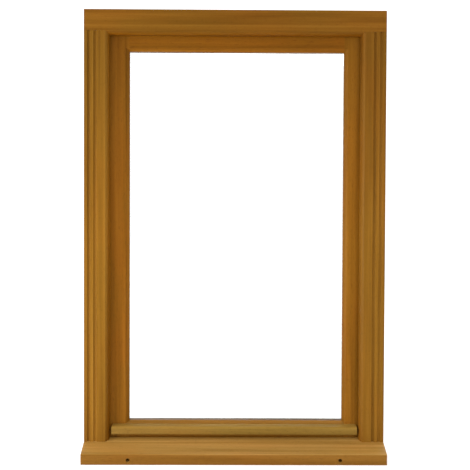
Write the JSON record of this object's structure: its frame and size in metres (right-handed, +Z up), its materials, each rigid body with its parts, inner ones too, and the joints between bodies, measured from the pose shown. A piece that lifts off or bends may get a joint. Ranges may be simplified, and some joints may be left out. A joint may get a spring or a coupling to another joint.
{
  "type": "casement window",
  "caption": "Single-leaf hardwood casement window opening into the room, with moulded frame, sloping sill, drip bar, sealed double glazing, lift-off hinges and a rack-driven rod bolt.",
  "frame": {"origin": "middle of the sill's underside, in the plane of the frame's weather face", "axes": "+Z up, -Y out to the weather, +Y into the room, +X towards the hinges"},
  "size_m": [0.6, 0.16, 0.895],
  "materials": {
    "frame_wood": "satin varnish over straight-grained golden brown hardwood",
    "sash_wood": "satin varnish over straight-grained reddish brown hardwood",
    "sill_wood": "satin varnish over straight-grained light golden hardwood",
    "peg_wood": "satin varnish on end grain",
    "seal_rubber": "matt black",
    "glass": "clear float glass",
    "spacer": "matt dark bronze coating",
    "block_plastic": "matt",
    "brass": "satin, lightly tarnished",
    "steel": "zinc plated"
  },
  "bodies": {
    "frame": {"head": "frame_wood", "hinge_jamb": "frame_wood", "lock_jamb": "frame_wood", "sill": "sill_wood", "frame_pegs": "peg_wood", "head_seal": "seal_rubber", "hinge_side_seal": "seal_rubber", "lock_side_seal": "seal_rubber", "sill_seal": "seal_rubber", "lower_hinge_frame_leaf": "brass", "upper_hinge_frame_leaf": "brass", "hinge_pins": "brass", "hinge_washers": "brass", "frame_hinge_screws": "brass", "head_keeper": "brass", "sill_keeper": "brass", "keeper_screws": "brass"},
    "sash": {"top_rail": "sash_wood", "bottom_rail": "sash_wood", "hinge_stile": "sash_wood", "lock_stile": "sash_wood", "sash_pegs": "peg_wood", "drip_bar": "sill_wood", "outer_pane": "glass", "inner_pane": "glass", "spacer_bars": "spacer", "edge_sealant": "seal_rubber", "outer_tapes": "seal_rubber", "inner_tapes": "seal_rubber", "setting_blocks": "block_plastic", "top_bead": "sash_wood", "bottom_bead": "sash_wood", "hinge_side_bead": "sash_wood", "lock_side_bead": "sash_wood", "bead_pins": "steel", "lower_hinge_sash_leaf": "brass", "upper_hinge_sash_leaf": "brass", "sash_hinge_screws": "brass", "bolt_case": "brass", "case_screws": "brass", "rod_guides": "brass", "guide_screws": "brass"},
    "handle": {"handle_lever": "brass", "handle_spindle": "steel", "pinion": "steel", "grub_screw": "steel"},
    "upper_bolt": {"upper_rod": "brass", "upper_rack": "steel"},
    "lower_bolt": {"lower_rod": "brass", "lower_rack": "steel"}
  },
  "joints": [
    {"name": "sash_swing", "type": "hinge", "parent": "frame", "child": "sash", "pos_m": [0.2625, 0.0755, 0.45], "axis": [0, 0, -1], "range_deg": [0, 100]},
    {"name": "handle_turn", "type": "hinge", "parent": "sash", "child": "handle", "pos_m": [-0.243, 0.076, 0.446], "axis": [0, 1, 0], "range_deg": [0, 180]},
    {"name": "upper_bolt_slide", "type": "slide", "parent": "sash", "child": "upper_bolt", "axis": [0, 0, 1], "range_m": [0, 0.01885]},
    {"name": "lower_bolt_slide", "type": "slide", "parent": "sash", "child": "lower_bolt", "axis": [0, 0, -1], "range_m": [0, 0.01885]}
  ],
  "couplings": [
    {"joint": "upper_bolt_slide", "follows": "handle_turn", "m_per_rad": 0.006},
    {"joint": "lower_bolt_slide", "follows": "handle_turn", "m_per_rad": 0.006}
  ]
}
